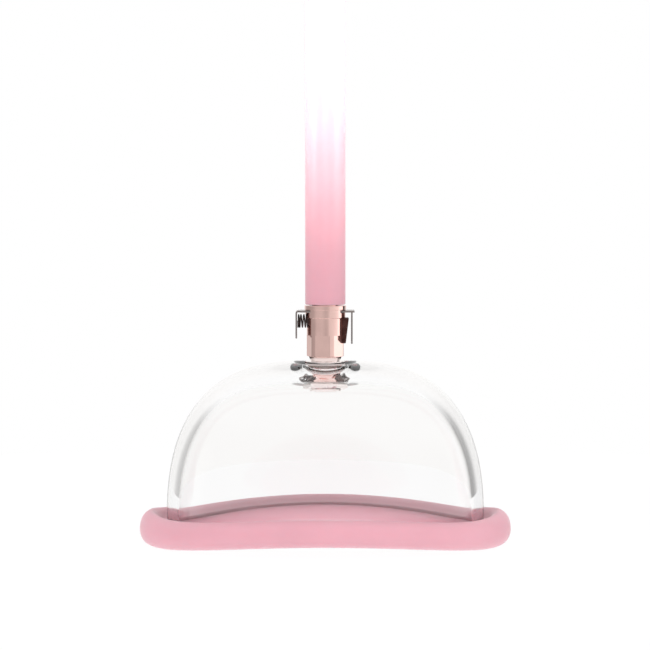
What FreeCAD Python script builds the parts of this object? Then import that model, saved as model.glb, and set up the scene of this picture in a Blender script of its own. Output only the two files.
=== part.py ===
import FreeCAD, Part
import Sketcher
import math
import os

# Oval suction cup: a clear bell with a silicone flange, a quick-release coupling on the crown
# and a silicone hose. Millimetres, +Z up along the hose, +X along the long side of the oval.
# The origin lies under the middle of the cup, on the surface that the flange stands on.

vector = FreeCAD.Vector
doc = FreeCAD.newDocument("suction_cup")
sheet = doc.addObject("Spreadsheet::Sheet", "Sizes")
places = doc.addObject("Spreadsheet::Sheet", "Places")

SIZES = [
    # bell
    ("dome_half_length", 51.3),      # half of the oval's long axis, outside
    ("dome_half_width", 31.3),       # half of its short axis, outside
    ("dome_height", 49.4),           # crown above the level where the wall starts to curve in
    ("shoulder_level", 10.0),        # that level
    ("side_power", 3.2),             # fullness of the outline at the side
    ("crown_power", 2.2),            # fullness of the outline at the crown
    ("dome_wall", 4.0),
    ("crown_wall", 5.2),
    ("edge_seat", 3.0),              # silicone under the bell's edge
    ("dish_slope", 4.0),             # dish's rim outside its floor
    ("dish_depth", 2.0),
    ("dish_margin", 0.6),            # dish's floor outside the seal
    ("nut_seat_margin", 0.6),        # nut's seat outside the washer
    ("nut_seat_depth", 0.1),
    ("stem_hole_gap", 0.1),
    # saddle curve of the mouth
    ("saddle_rise", 3.5),
    ("saddle_foot", 2.3),            # level stretch of the bell's edge at each end
    ("saddle_power", 1.2),
    # flange section, from the bell's outer wall and from the flange's own underside
    ("flange_reach", 8.7),           # outward of the wall
    ("flange_waist", 4.6),           # height of the outermost point
    ("crest_reach", 5.0),
    ("crest_height", 8.8),           # along the long sides
    ("end_height", 11.2),            # at the two ends, where the silicone is drawn round tightly
    ("end_power", 8.0),              # how quickly the height falls off away from the ends
    ("groove_height", 6.3),          # floor of the groove beside the wall
    ("foot_inner_reach", 0.6),
    ("foot_outer_reach", 4.0),
    ("lip_thickness", 1.6),          # inward of the bell's inner wall
    ("lip_height", 5.0),
    # coupling body
    ("stem_radius", 5.0),
    ("stem_reveal", 0.9),            # stem below the nut
    ("thread_pitch", 1.0),
    ("thread_depth", 0.55),
    ("seal_radius", 6.4),
    ("seal_thickness", 1.2),
    ("neck_flange_radius", 6.3),
    ("neck_flange_height", 0.8),
    ("neck_low_radius", 4.7),
    ("neck_top_radius", 5.4),
    ("neck_height", 1.6),
    ("barrel_radius", 6.0),
    ("barrel_height", 12.4),
    ("flats_depth", 0.45),
    ("flats_height", 6.8),
    ("flats_turn", -10.0),
    ("collar_step", 0.5),            # collar outside the barrel
    ("collar_height", 4.0),
    ("rim_step", 0.25),              # rim outside the collar
    ("rim_height", 1.3),
    ("edge_break", 0.25),
    ("lug_step", 1.6),               # stop lug's top outside the barrel
    ("lug_low_step", 0.6),
    ("lug_height", 8.2),
    ("lug_width", 5.0),
    ("plug_bore_radius", 3.2),
    ("plug_bore_depth", 11.2),
    ("counterbore_gap", 0.2),
    ("counterbore_depth", 0.9),
    ("valve_hole_gap", 0.2),
    ("valve_seat_thickness", 0.8),
    ("valve_bore_radius", 3.3),
    # nut and washer
    ("washer_radius", 7.2),
    ("washer_thickness", 0.5),
    ("nut_flats", 12.6),
    ("nut_height", 2.0),
    ("nut_chamfer", 0.6),
    # latch
    ("latch_thickness", 0.5),
    ("latch_width", 8.4),
    ("latch_drop", 1.9),             # middle of the plate below the collar's top
    ("latch_slot_gap", 0.15),        # play above, below and beside the plate
    ("thumb_gap", 3.1),              # barrel to thumb leg
    ("thumb_drop", 8.5),             # length of the thumb leg
    ("stop_gap", 0.7),               # stop lug to stop leg
    ("stop_drop", 10.2),             # length of the stop leg
    ("stop_ears", 0.6),              # plate's ends beyond the stop leg
    ("latch_leg_width", 6.0),
    ("latch_bend", 0.9),
    ("window_play", 0.1),
    ("latch_bite", 0.7),             # how far the plate reaches under the plug's shoulder
    ("latch_travel", 1.2),
    ("latch_spring_radius", 2.25),
    ("latch_spring_wire", 0.45),
    ("latch_spring_turns", 4.0),
    ("latch_spring_drop", 3.2),      # its axis below the plate
    ("spring_pocket_gap", 0.25),
    ("spring_pocket_wall", 2.0),     # metal between the plug's bore and the pocket
    # valve
    ("retainer_thickness", 1.2),
    ("retainer_inset", 1.4),
    ("vent_radius", 0.6),
    ("vent_circle", 1.35),
    ("poppet_gap", 0.5),
    ("poppet_thickness", 0.8),
    ("poppet_pin_radius", 0.8),
    ("poppet_pin_length", 4.6),
    ("pusher_radius", 1.6),
    ("pusher_web", 0.7),
    ("valve_opening", 1.2),          # seal to seat while the plug holds the valve open
    ("valve_seal_inset", 0.15),
    ("valve_seal_thickness", 0.8),
    ("valve_spring_gap", 0.7),
    ("valve_spring_wire", 0.4),
    ("valve_spring_turns", 6.0),
    ("nose_lift", 0.6),              # plug's nose above the floor of its bore
    ("nose_gap", 0.1),
    # hose and its fittings
    ("fit_gap", 0.05),               # running fit, on the radius
    ("shoulder_gap", 0.1),
    ("hose_gap", 0.3),
    ("hose_wall", 3.0),
    ("hose_bore_radius", 3.5),
    ("hose_length", 104.0),
    ("plug_groove_play", 0.1),
    ("plug_groove_height", 0.8),
    ("plug_flange_step", 0.5),       # plug's flange outside the hose's bore
    ("plug_nose_radius", 2.6),
    ("plug_nose_length", 1.4),
    ("air_bore_radius", 1.2),
    ("barb_height", 0.3),
    ("barb_pitch", 3.4),
    ("barb_count", 3),
    ("seal_section", 0.5),
    ("seal_squeeze_gap", 0.03),
    ("plug_seal_drop", 5.4),         # O-ring below the counterbore's floor
    ("connector_radius", 6.3),
    ("connector_height", 4.0),
    ("nozzle_radius", 3.15),
    ("nozzle_length", 10.5),
    ("nozzle_groove_drop", 2.2),
    ("nozzle_seal_drop", 6.9),
]

for row, (alias, value) in enumerate(SIZES, 1):
    sheet.set(f"A{row}", alias.replace("_", " "))
    sheet.set(f"B{row}", str(value))
    sheet.setAlias(f"B{row}", alias)
doc.recompute()

# Heights along the axis and reaches from it, each worked out from the sizes.
PLACES = [
    ("saddle_half_length", "Sizes.dome_half_length - Sizes.saddle_foot"),
    ("lip_reach", "Sizes.dome_wall + Sizes.lip_thickness"),
    ("dish_floor_radius", "Sizes.seal_radius + Sizes.dish_margin"),
    ("dish_radius", "dish_floor_radius + Sizes.dish_slope"),
    ("nut_seat_radius", "Sizes.washer_radius + Sizes.nut_seat_margin"),
    ("flats_across", "2 * (Sizes.barrel_radius - Sizes.flats_depth)"),
    ("collar_radius", "Sizes.barrel_radius + Sizes.collar_step"),
    ("rim_radius", "collar_radius + Sizes.rim_step"),
    ("lug_reach", "Sizes.barrel_radius + Sizes.lug_step"),
    ("lug_low_reach", "Sizes.barrel_radius + Sizes.lug_low_step"),
    ("valve_hole_radius", "Sizes.pusher_radius + Sizes.valve_hole_gap"),
    ("poppet_radius", "Sizes.valve_bore_radius - Sizes.poppet_gap"),
    ("valve_seal_radius", "poppet_radius - Sizes.valve_seal_inset"),
    ("valve_spring_radius", "Sizes.valve_bore_radius - Sizes.valve_spring_gap"),
    ("hose_radius", "Sizes.hose_bore_radius + Sizes.hose_wall"),
    ("barb_radius", "Sizes.hose_bore_radius + Sizes.barb_height"),
    ("plug_flange_radius", "Sizes.hose_bore_radius + Sizes.plug_flange_step"),
    ("counterbore_radius", "plug_flange_radius + Sizes.counterbore_gap"),
    ("shank_radius", "Sizes.plug_bore_radius - Sizes.fit_gap"),
    ("plug_groove_radius", "shank_radius - Sizes.latch_bite - Sizes.plug_groove_play"),
    ("window_radius", "Sizes.plug_bore_radius + Sizes.window_play"),
    ("window_bite_edge", "shank_radius - Sizes.latch_bite"),
    ("window_far_edge", "window_radius + Sizes.latch_travel"),
    ("thumb_reach", "Sizes.barrel_radius + Sizes.thumb_gap + Sizes.latch_thickness"),
    ("stop_reach", "lug_reach + Sizes.stop_gap + Sizes.latch_thickness"),
    ("ear_reach", "stop_reach + Sizes.stop_ears"),
    ("spring_pocket_radius", "Sizes.latch_spring_radius + Sizes.spring_pocket_gap"),
    ("spring_pocket_floor", "Sizes.plug_bore_radius + Sizes.spring_pocket_wall"),
    ("crown_top", "Sizes.shoulder_level + Sizes.dome_height"),
    ("dish_floor", "crown_top - Sizes.dish_depth"),
    ("seal_top", "dish_floor + Sizes.seal_thickness"),
    ("neck_base", "seal_top + Sizes.neck_flange_height"),
    ("barrel_base", "neck_base + Sizes.neck_height"),
    ("collar_base", "barrel_base + Sizes.barrel_height"),
    ("collar_top", "collar_base + Sizes.collar_height"),
    ("rim_base", "collar_top - Sizes.rim_height"),
    ("counterbore_floor", "collar_top - Sizes.counterbore_depth"),
    ("plug_bore_floor", "collar_top - Sizes.plug_bore_depth"),
    ("valve_seat", "plug_bore_floor - Sizes.valve_seat_thickness"),
    ("washer_top", "crown_top - Sizes.crown_wall + Sizes.nut_seat_depth"),
    ("nut_top", "washer_top - Sizes.washer_thickness"),
    ("nut_base", "nut_top - Sizes.nut_height"),
    ("stem_base", "nut_base - Sizes.stem_reveal"),
    ("latch_level", "collar_top - Sizes.latch_drop"),
    ("latch_top", "latch_level + Sizes.latch_thickness / 2"),
    ("latch_under", "latch_level - Sizes.latch_thickness / 2"),
    ("latch_spring_level", "latch_level - Sizes.latch_spring_drop"),
    ("retainer_base", "stem_base + Sizes.retainer_inset"),
    ("retainer_top", "retainer_base + Sizes.retainer_thickness"),
    ("nose_base", "plug_bore_floor + Sizes.nose_lift"),
    ("pusher_top", "nose_base - Sizes.nose_gap"),
    ("valve_seal_top", "valve_seat - Sizes.valve_opening"),
    ("poppet_top", "valve_seal_top - Sizes.valve_seal_thickness"),
    ("poppet_under", "poppet_top - Sizes.poppet_thickness"),
    ("plug_flange_base", "counterbore_floor + Sizes.shoulder_gap"),
    ("plug_seal_level", "counterbore_floor - Sizes.plug_seal_drop"),
    ("hose_base", "collar_top + Sizes.hose_gap"),
    ("hose_top", "hose_base + Sizes.hose_length"),
    ("connector_top", "hose_top + Sizes.connector_height"),
    ("nozzle_top", "connector_top + Sizes.nozzle_length"),
    ("nozzle_groove_level", "nozzle_top - Sizes.nozzle_groove_drop"),
    ("nozzle_seal_level", "nozzle_top - Sizes.nozzle_seal_drop"),
]
for row, (alias, formula) in enumerate(PLACES, 1):
    places.set(f"A{row}", alias.replace("_", " "))
    places.set(f"B{row}", "=" + formula.replace("Sizes.", "<<Sizes>>."))
    places.setAlias(f"B{row}", alias)
    doc.recompute()


def size(alias):
    """The value of a driving size."""
    return float(getattr(sheet, alias))


def place(alias):
    """The value of a height or a reach."""
    return float(getattr(places, alias))


# ---------------------------------------------------------------- sketching helpers


def new_body(name):
    body = doc.addObject("PartDesign::Body", name)
    body.Label = name
    return body


def new_sketch(body, name, role, offset=None):
    """A sketch on one of the body's own origin planes, moved along the plane's normal by offset."""
    sketch = body.newObject("Sketcher::SketchObject", name)
    plane = [feature for feature in body.Origin.OriginFeatures if feature.Role == role][0]
    sketch.AttachmentSupport = [(plane, "")]
    sketch.MapMode = "FlatFace"
    if offset:
        sketch.setExpression(".AttachmentOffset.Base.z", offset)
    return sketch


def pin(sketch, geometry, point, corner):
    """Tie one point of the sketch to a pair of expressions."""
    for kind, expression in zip(("DistanceX", "DistanceY"), corner):
        value = float(sketch.evalExpression(expression))
        index = sketch.addConstraint(Sketcher.Constraint(kind, geometry, point, value))
        sketch.setExpression(f"Constraints[{index}]", expression)


def draw_outline(sketch, corners):
    """A closed outline of straight lines whose corners are pairs of expressions."""
    values = [[float(sketch.evalExpression(e)) for e in corner] for corner in corners]
    first = sketch.GeometryCount
    count = len(corners)
    for number in range(count):
        start = vector(*values[number], 0)
        end = vector(*values[(number + 1) % count], 0)
        sketch.addGeometry(Part.LineSegment(start, end))
    for number in range(count):
        following = first + (number + 1) % count
        sketch.addConstraint(Sketcher.Constraint("Coincident", first + number, 2, following, 1))
        pin(sketch, first + number, 1, corners[number])


def draw_circle(sketch, centre, radius):
    """A circle whose centre and radius are expressions."""
    middle = [float(sketch.evalExpression(e)) for e in centre]
    value = float(sketch.evalExpression(radius))
    number = sketch.addGeometry(Part.Circle(vector(*middle, 0), vector(0, 0, 1), value))
    pin(sketch, number, 3, centre)
    index = sketch.addConstraint(Sketcher.Constraint("Radius", number, value))
    sketch.setExpression(f"Constraints[{index}]", radius)


def hexagon(flats, turn):
    """The six corners of a hexagon of the given size across flats."""
    corners = []
    for number in range(6):
        angle = f"({turn} + {60 * number + 30})"
        corner = f"{flats} / 2 / cos(30)"
        corners.append((f"{corner} * cos({angle})", f"{corner} * sin({angle})"))
    return corners


def revolve(body, name, corners, kind="PartDesign::Revolution"):
    """Turn an outline in the XZ plane about the Z axis."""
    sketch = new_sketch(body, name + "_outline", "XZ_Plane")
    draw_outline(sketch, corners)
    feature = body.newObject(kind, name)
    feature.Profile = sketch
    feature.ReferenceAxis = (sketch, ["V_Axis"])
    feature.Angle = 360
    doc.recompute()
    return feature


def must_remove(body, before, what):
    """A cut that points away from the solid removes nothing and says nothing, so compare volumes."""
    doc.recompute()
    if body.Shape.Volume > before - 1e-4:
        raise RuntimeError(f"{what} cut nothing")


def pocket(body, name, sketch, length, both_ways=False, reverse=False):
    before = body.Shape.Volume
    cut = body.newObject("PartDesign::Pocket", name)
    cut.Profile = sketch
    cut.setExpression("Length", length)
    cut.Midplane = both_ways
    cut.Reversed = reverse
    must_remove(body, before, name)
    return cut


def groove(body, name, corners):
    before = body.Shape.Volume
    cut = revolve(body, name, corners, "PartDesign::Groove")
    must_remove(body, before, name)
    return cut


def pattern(body, name, kind, original, role, expressions, **values):
    """Repeat a feature round or along one of the body's axes."""
    before = body.Shape.Volume
    repeat = body.newObject(kind, name)
    repeat.Originals = [original]
    axis = [feature for feature in body.Origin.OriginFeatures if feature.Role == role][0]
    if kind == "PartDesign::PolarPattern":
        repeat.Axis = (axis, [""])
    else:
        repeat.Direction = (axis, [""])
    for key, value in values.items():
        setattr(repeat, key, value)
    for key, expression in expressions.items():
        repeat.setExpression(key, expression)
    body.Tip = repeat
    must_remove(body, before, name)
    return repeat


def edge_at(shape, corner):
    """Name of the edge along Y whose middle lies at (x, z)."""
    for number, edge in enumerate(shape.Edges, 1):
        middle = edge.BoundBox.Center
        along_y = edge.BoundBox.XLength < 1e-6 and edge.BoundBox.ZLength < 1e-6
        if along_y and math.dist((middle.x, middle.z), corner) < 1e-3:
            return f"Edge{number}"
    raise RuntimeError(f"no edge along Y at {corner}")


# ---------------------------------------------------------------- bell


def saddle(x):
    """How far the mouth is lifted at x: a smooth arch that ends in two level feet."""
    share = 1 - (x / place("saddle_half_length")) ** 2
    if share <= 0:
        return 0.0
    return size("saddle_rise") * share ** size("saddle_power")


def bell_face(name, half_length, height):
    """Half of the bell's upright section: a full superellipse above a straight skirt."""
    base = size("shoulder_level")
    skirt = -size("crest_height")
    points = []
    steps = 14
    for number in range(steps + 1):
        angle = math.pi / 2 * number / steps
        x = half_length * max(math.cos(angle), 0) ** (2 / size("side_power"))
        z = base + height * math.sin(angle) ** (2 / size("crown_power"))
        points.append(vector(x if number < steps else 0, 0, z))
    curve = Part.BSplineCurve()
    curve.interpolate(
        Points=points,
        InitialTangent=vector(0, 0, 1),
        FinalTangent=vector(-1, 0, 0),
    )
    corners = [vector(0, 0, base + height), vector(0, 0, skirt), vector(half_length, 0, skirt), points[0]]
    lines = [Part.LineSegment(a, b).toShape() for a, b in zip(corners, corners[1:])]
    face = doc.addObject("Part::Feature", name)
    face.Shape = Part.Face(Part.Wire([curve.toShape()] + lines))
    return face


def bell_solid(name, half_length, half_width, height):
    """The section turned about Z and narrowed along Y, which makes the plan an ellipse."""
    face = bell_face(name + "_section", half_length, height)
    turned = doc.addObject("Part::Revolution", name + "_round")
    turned.Source = face
    turned.Axis = vector(0, 0, 1)
    turned.Angle = 360
    turned.Solid = True
    oval = doc.addObject("Part::Scale", name)
    oval.Base = turned
    oval.Uniform = False
    oval.XScale = 1
    oval.YScale = half_width / half_length
    oval.ZScale = 1
    return oval


def saddle_block(name):
    """Everything below the bell's edge."""
    reach = place("saddle_half_length")
    lift = size("edge_seat")
    steps = 16
    points = []
    for number in range(steps + 1):
        x = reach * math.sin(math.pi * (number / steps - 0.5))
        points.append(vector(x, 0, lift + saddle(x)))
    curve = Part.BSplineCurve()
    curve.interpolate(
        Points=points,
        InitialTangent=vector(1, 0, 0),
        FinalTangent=vector(1, 0, 0),
    )
    far = size("dome_half_length") + size("flange_reach")
    low = -2 * size("crest_height")
    corners = [
        points[-1],
        vector(far, 0, lift),
        vector(far, 0, low),
        vector(-far, 0, low),
        vector(-far, 0, lift),
        points[0],
    ]
    lines = [Part.LineSegment(a, b).toShape() for a, b in zip(corners, corners[1:])]
    face = doc.addObject("Part::Feature", name + "_section")
    face.Shape = Part.Face(Part.Wire([curve.toShape()] + lines))
    block = doc.addObject("Part::Extrusion", name)
    block.Base = face
    block.DirMode = "Custom"
    block.Dir = vector(0, 1, 0)
    block.setExpression("LengthFwd", "2 * Sizes.dome_half_width")
    block.setExpression("LengthRev", "2 * Sizes.dome_half_width")
    block.Solid = True
    return block


def cylinder(name, radius, height, base):
    """An upright cylinder on the axis, its sizes given as expressions."""
    piece = doc.addObject("Part::Cylinder", name)
    piece.setExpression("Radius", radius)
    piece.setExpression("Height", height)
    piece.setExpression(".Placement.Base.z", base)
    return piece


def cut(name, base, tool):
    piece = doc.addObject("Part::Cut", name)
    piece.Base = base
    piece.Tool = tool
    return piece


def make_cup_dome():
    wall = size("dome_wall")
    outside = bell_solid(
        "bell_outside", size("dome_half_length"), size("dome_half_width"), size("dome_height")
    )
    inside = bell_solid(
        "bell_inside",
        size("dome_half_length") - wall,
        size("dome_half_width") - wall,
        size("dome_height") - size("crown_wall"),
    )
    shell = cut("bell_shell", outside, inside)
    shell = cut("bell_trimmed", shell, saddle_block("below_the_edge"))

    dish = doc.addObject("Part::Cone", "crown_dish")
    dish.setExpression("Radius1", "Places.dish_floor_radius")
    dish.setExpression("Radius2", "Places.dish_radius")
    dish.setExpression("Height", "Sizes.dish_depth")
    dish.setExpression(".Placement.Base.z", "Places.dish_floor")

    hole = cylinder(
        "stem_hole",
        "Sizes.stem_radius + Sizes.stem_hole_gap",
        "Sizes.crown_wall + Sizes.dish_depth",
        "Places.washer_top - 1",
    )
    seat = cylinder(
        "nut_seat", "Places.nut_seat_radius", "Sizes.crown_wall", "Places.washer_top - Sizes.crown_wall"
    )
    crown_tools = doc.addObject("Part::MultiFuse", "crown_tools")
    crown_tools.Shapes = [dish, hole, seat]
    dome = cut("cup_dome", shell, crown_tools)
    doc.recompute()
    return dome


# ---------------------------------------------------------------- flange


def flange_outline():
    """The flange's section as (reach from the bell's outer wall, height) pairs, all the way round."""
    reach, waist = size("flange_reach"), size("flange_waist")
    crest, top = size("crest_reach"), size("crest_height")
    seat = size("groove_height")
    lip, lip_height = place("lip_reach"), size("lip_height")
    foot_in, foot_out = size("foot_inner_reach"), size("foot_outer_reach")
    outer = Part.BSplineCurve()
    outer.interpolate(
        Points=[
            vector(foot_out, 0),
            vector(reach, waist),
            vector(crest, top),
            vector(0.2 * crest, seat + 0.02 * (top - seat)),
            vector(-0.1 * crest, seat),
        ],
        InitialTangent=vector(1, 0),
        FinalTangent=vector(-1, 0),
    )
    inner = Part.BSplineCurve()
    inner.interpolate(
        Points=[
            vector(-size("dome_wall"), seat),
            vector(-lip, lip_height),
            vector(-0.5 * lip, 0.15 * lip_height),
            vector(foot_in, 0),
        ],
        InitialTangent=vector(-1, 0),
        FinalTangent=vector(1, 0),
    )
    return outer.discretize(12) + inner.discretize(8)


def flange_station(outline, angle):
    """The section, upright and square to the bell's oval at one angle round it, taller at the ends."""
    long, wide = size("dome_half_length"), size("dome_half_width")
    x = long * math.cos(angle)
    y = wide * math.sin(angle)
    outward = vector(wide * math.cos(angle), long * math.sin(angle), 0).normalize()
    base = vector(x, y, saddle(x))
    end_share = abs(math.cos(angle)) ** size("end_power")
    stretch = 1 + (size("end_height") / size("crest_height") - 1) * end_share
    corners = [base + outward * point.x + vector(0, 0, point.y * stretch) for point in outline]
    return Part.makePolygon(corners + corners[:1])


def make_silicone_flange(dome):
    """A ring of flat-sided stations round the oval, with the bell's edge let into it."""
    outline = flange_outline()
    steps = 48
    stations = [flange_station(outline, 2 * math.pi * number / steps) for number in range(steps)]
    ring = doc.addObject("Part::Feature", "flange_ring")
    ring.Shape = Part.makeLoft(stations, True, True, True)
    flange = cut("silicone_flange", ring, dome)
    doc.recompute()
    return flange


# ---------------------------------------------------------------- coupling body, nut, seals


def make_coupling_body():
    body = new_body("coupling_body")
    revolve(
        body,
        "turned_body",
        [
            ("Sizes.valve_bore_radius", "Places.stem_base"),
            ("Sizes.stem_radius - Sizes.edge_break", "Places.stem_base"),
            ("Sizes.stem_radius", "Places.stem_base + Sizes.edge_break"),
            ("Sizes.stem_radius", "Places.seal_top"),
            ("Sizes.neck_flange_radius", "Places.seal_top"),
            ("Sizes.neck_flange_radius", "Places.neck_base"),
            ("Sizes.neck_low_radius", "Places.neck_base"),
            ("Sizes.neck_top_radius", "Places.barrel_base"),
            ("Sizes.barrel_radius - Sizes.edge_break", "Places.barrel_base"),
            ("Sizes.barrel_radius", "Places.barrel_base + Sizes.edge_break"),
            ("Sizes.barrel_radius", "Places.collar_base"),
            ("Places.collar_radius - Sizes.edge_break", "Places.collar_base"),
            ("Places.collar_radius", "Places.collar_base + Sizes.edge_break"),
            ("Places.collar_radius", "Places.rim_base"),
            ("Places.rim_radius", "Places.rim_base"),
            ("Places.rim_radius", "Places.collar_top - Sizes.edge_break"),
            ("Places.rim_radius - Sizes.edge_break", "Places.collar_top"),
            ("Places.counterbore_radius", "Places.collar_top"),
            ("Places.counterbore_radius", "Places.counterbore_floor"),
            ("Sizes.plug_bore_radius", "Places.counterbore_floor"),
            ("Sizes.plug_bore_radius", "Places.plug_bore_floor"),
            ("Places.valve_hole_radius", "Places.plug_bore_floor"),
            ("Places.valve_hole_radius", "Places.valve_seat"),
            ("Sizes.valve_bore_radius", "Places.valve_seat"),
        ],
    )

    # Wrench flats on the lower barrel.
    outline = new_sketch(body, "flats_outline", "XY_Plane", "Places.barrel_base")
    draw_circle(outline, ("0", "0"), "Sizes.barrel_radius * 1.5")
    draw_outline(outline, hexagon("Places.flats_across", "Sizes.flats_turn"))
    pocket(body, "wrench_flats", outline, "Sizes.flats_height", reverse=True)

    # Stop lug for the latch, a wedge on the +X side.
    root = "(Sizes.barrel_radius - Sizes.edge_break * 3)"
    outline = new_sketch(body, "lug_outline", "XZ_Plane")
    draw_outline(
        outline,
        [
            (root, "Places.collar_base"),
            (root, "Places.collar_base - Sizes.lug_height"),
            ("Places.lug_low_reach", "Places.collar_base - Sizes.lug_height"),
            ("Places.lug_reach", "Places.collar_base - Sizes.edge_break"),
            ("Places.lug_reach - Sizes.edge_break", "Places.collar_base"),
        ],
    )
    lug = body.newObject("PartDesign::Pad", "stop_lug")
    lug.Profile = outline
    lug.setExpression("Length", "Sizes.lug_width")
    lug.Midplane = True
    doc.recompute()

    # Thread, as rings at the pitch.
    ring_base = "(Places.stem_base + Sizes.thread_pitch * 0.75)"
    ring = groove(
        body,
        "thread_ring",
        [
            ("Sizes.stem_radius + Sizes.thread_depth * 0.2", f"{ring_base} - Sizes.thread_pitch * 0.48"),
            ("Sizes.stem_radius + Sizes.thread_depth * 0.2", f"{ring_base} + Sizes.thread_pitch * 0.48"),
            ("Sizes.stem_radius - Sizes.thread_depth", f"{ring_base} + Sizes.thread_pitch * 0.06"),
            ("Sizes.stem_radius - Sizes.thread_depth", f"{ring_base} - Sizes.thread_pitch * 0.06"),
        ],
    )
    threaded = place("seal_top") - place("stem_base")
    count = int((threaded - size("thread_pitch") * 0.5) / size("thread_pitch"))
    pattern(
        body, "thread", "PartDesign::LinearPattern", ring, "Z_Axis",
        {"Length": f"Sizes.thread_pitch * {count - 1}"}, Occurrences=count,
    )

    # Slot for the latch plate, right through the collar.
    outline = new_sketch(body, "latch_slot_outline", "XZ_Plane")
    reach = "Places.rim_radius * 1.2"
    low = "Places.latch_under - Sizes.latch_slot_gap"
    high = "Places.latch_top + Sizes.latch_slot_gap"
    draw_outline(outline, [(f"-{reach}", low), (reach, low), (reach, high), (f"-{reach}", high)])
    pocket(
        body, "latch_slot", outline, "Sizes.latch_width + 2 * Sizes.latch_slot_gap", both_ways=True
    )

    # Seat for the latch spring, on the -X side.
    outline = new_sketch(body, "spring_seat_outline", "YZ_Plane", "-Places.spring_pocket_floor")
    draw_circle(outline, ("0", "Places.latch_spring_level"), "Places.spring_pocket_radius")
    pocket(body, "spring_seat", outline, "Places.rim_radius")
    return body


def make_washer(name, inner, outer, base, top):
    """A plain flat ring."""
    body = new_body(name)
    revolve(body, name + "_ring", [(inner, base), (outer, base), (outer, top), (inner, top)])
    return body


def make_lock_nut():
    body = new_body("lock_nut")
    outline = new_sketch(body, "nut_outline", "XY_Plane", "Places.nut_base")
    draw_outline(outline, hexagon("Sizes.nut_flats", "Sizes.flats_turn"))
    draw_circle(outline, ("0", "0"), "Sizes.stem_radius")
    block = body.newObject("PartDesign::Pad", "nut_block")
    block.Profile = outline
    block.setExpression("Length", "Sizes.nut_height")
    doc.recompute()
    corner = "Sizes.nut_flats / 2 / cos(30)"
    flat = "Sizes.nut_flats / 2"
    groove(
        body,
        "nut_chamfer",
        [
            (flat, "Places.nut_base"),
            (f"{corner} * 1.05", "Places.nut_base + Sizes.nut_chamfer"),
            (f"{corner} * 1.05", "Places.nut_base"),
        ],
    )
    return body


# ---------------------------------------------------------------- latch


def make_latch_plate():
    body = new_body("latch_plate")
    left = "Places.thumb_reach"
    leg = "Places.stop_reach"
    thick = "Sizes.latch_thickness"
    under, top = "Places.latch_under", "Places.latch_top"
    outline = new_sketch(body, "latch_outline", "XZ_Plane")
    draw_outline(
        outline,
        [
            (f"-{left}", top),
            (f"-{left}", f"{under} - Sizes.thumb_drop"),
            (f"-({left} - {thick})", f"{under} - Sizes.thumb_drop"),
            (f"-({left} - {thick})", under),
            (f"{leg} - {thick}", under),
            (f"{leg} - {thick}", f"{under} - Sizes.stop_drop"),
            (leg, f"{under} - Sizes.stop_drop"),
            (leg, under),
            ("Places.ear_reach", under),
            ("Places.ear_reach", top),
        ],
    )
    strip = body.newObject("PartDesign::Pad", "latch_strip")
    strip.Profile = outline
    strip.setExpression("Length", "Sizes.latch_width")
    strip.Midplane = True
    doc.recompute()

    # The thumb leg's bend.
    outer = (-place("thumb_reach"), place("latch_top"))
    inner = (outer[0] + size("latch_thickness"), place("latch_under"))
    for name, corner, radius in (
        ("outer_bend", outer, "Sizes.latch_bend"),
        ("inner_bend", inner, "Sizes.latch_bend - Sizes.latch_thickness"),
    ):
        edge = (body.Tip, [edge_at(body.Shape, corner)])
        bend = body.newObject("PartDesign::Fillet", name)
        bend.Base = edge
        bend.setExpression("Radius", radius)
        doc.recompute()

    # Window for the plug: its +X edge reaches under the plug's shoulder, and it is longer than
    # it is wide by the latch's travel.
    for name, centre in (
        ("window", "Places.window_bite_edge - Places.window_radius"),
        ("window_end", "Places.window_radius - Places.window_far_edge"),
    ):
        low = "Places.latch_under - Sizes.latch_bend"
        outline = new_sketch(body, name + "_outline", "XY_Plane", low)
        draw_circle(outline, (centre, "0"), "Places.window_radius")
        pocket(body, name, outline, "3 * Sizes.latch_bend", reverse=True)

    # The legs are narrower than the plate.
    for side, name in ((1, "front"), (-1, "back")):
        outline = new_sketch(body, f"{name}_side_outline", "YZ_Plane", "-Places.thumb_reach - 1")
        near, far = f"{side} * Sizes.latch_leg_width / 2", f"{side} * Sizes.latch_width"
        high = "Places.latch_under - Sizes.latch_bend"
        low = "Places.latch_under - Sizes.stop_drop - 1"
        draw_outline(outline, [(near, high), (near, low), (far, low), (far, high)])
        pocket(
            body, f"{name}_side", outline, "Places.thumb_reach + Places.ear_reach + 2",
            reverse=True,
        )
    return body


def make_coil(name, radius, wire, turns, length, placement):
    """A compression spring of even pitch that starts at its own origin and runs along its own Z."""
    mean = radius - wire / 2
    pitch = (length - wire) / turns
    path = Part.makeLongHelix(pitch, pitch * turns, mean)
    section = Part.Wire([Part.makeCircle(wire / 2, vector(mean, 0, 0), vector(0, 1, 0))])
    sweep = Part.BRepOffsetAPI.MakePipeShell(Part.Wire(path.Edges))
    sweep.setFrenetMode(True)
    sweep.add(section)
    sweep.build()
    sweep.makeSolid()
    coil = doc.addObject("Part::Feature", name)
    coil.Shape = sweep.shape()
    coil.Placement = placement
    return coil


def make_latch_spring():
    """It runs from the floor of its pocket to the thumb leg, along -X."""
    gap = size("fit_gap")
    wire = size("latch_spring_wire")
    start = place("spring_pocket_floor") + gap
    end = place("thumb_reach") - size("latch_thickness") - gap
    base = vector(-start - wire / 2, 0, place("latch_spring_level"))
    return make_coil(
        "latch_spring", size("latch_spring_radius"), wire, size("latch_spring_turns"), end - start,
        FreeCAD.Placement(base, FreeCAD.Rotation(vector(0, 1, 0), -90)),
    )


# ---------------------------------------------------------------- valve


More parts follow.
